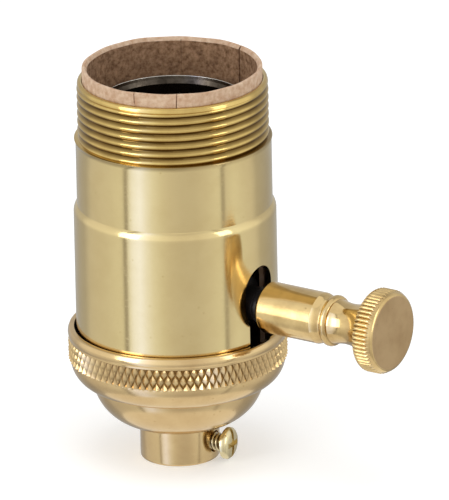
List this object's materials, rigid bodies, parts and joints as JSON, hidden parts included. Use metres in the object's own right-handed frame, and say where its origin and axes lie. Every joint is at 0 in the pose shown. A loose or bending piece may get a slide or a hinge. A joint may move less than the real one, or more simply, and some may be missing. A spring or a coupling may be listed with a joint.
{
  "type": "turn knob lamp socket",
  "caption": "Turned brass lamp socket with a threaded shell, a side turn knob for its rotary switch, and a set screw in its pipe-thread neck.",
  "frame": {"origin": "centre of the pipe thread's mouth, at the lower end of the neck", "axes": "+Z along the socket up to the bulb, +X out along the knob"},
  "size_m": [0.069, 0.0412, 0.0772],
  "materials": {
    "cap_brass": "polished, warm",
    "shell_brass": "satin polished, pale",
    "screw_brass": "polished, pale",
    "contact_brass": "stamped",
    "plated_metal": "bright rolled",
    "steel": "plain",
    "fibre": "tan fibre paper",
    "black_phenolic": "black moulded"
  },
  "bodies": {
    "socket": {"cap": "cap_brass", "shell": "shell_brass", "cap_liner": "fibre", "shell_liner": "fibre", "insulating_disc": "fibre", "switch_base": "black_phenolic", "switch_body": "black_phenolic", "body_rivet_1": "contact_brass", "body_rivet_2": "contact_brass", "screw_shell_rivet_1": "contact_brass", "screw_shell_rivet_2": "contact_brass", "centre_rivet": "contact_brass", "centre_contact": "contact_brass", "line_contact": "contact_brass", "load_contact": "contact_brass", "hot_terminal": "contact_brass", "hot_terminal_screw": "contact_brass", "neutral_terminal": "plated_metal", "neutral_terminal_screw": "plated_metal", "screw_shell": "plated_metal", "detent_spring": "steel"},
    "knob": {"turn_knob": "cap_brass", "switch_shaft": "steel", "switch_rotor": "black_phenolic", "rotor_contact": "contact_brass", "shaft_clip": "steel"},
    "set_screw": {"set_screw": "screw_brass"}
  },
  "joints": [
    {"name": "knob_turn", "type": "hinge", "parent": "socket", "child": "knob", "pos_m": [0.0209, 0, 0.0332], "axis": [1, 0, 0], "continuous": true},
    {"name": "set_screw_travel", "type": "slide", "parent": "socket", "child": "set_screw", "axis": [-0.9925, -0.1219, 0], "range_m": [-0.0015, 0.0019]}
  ]
}
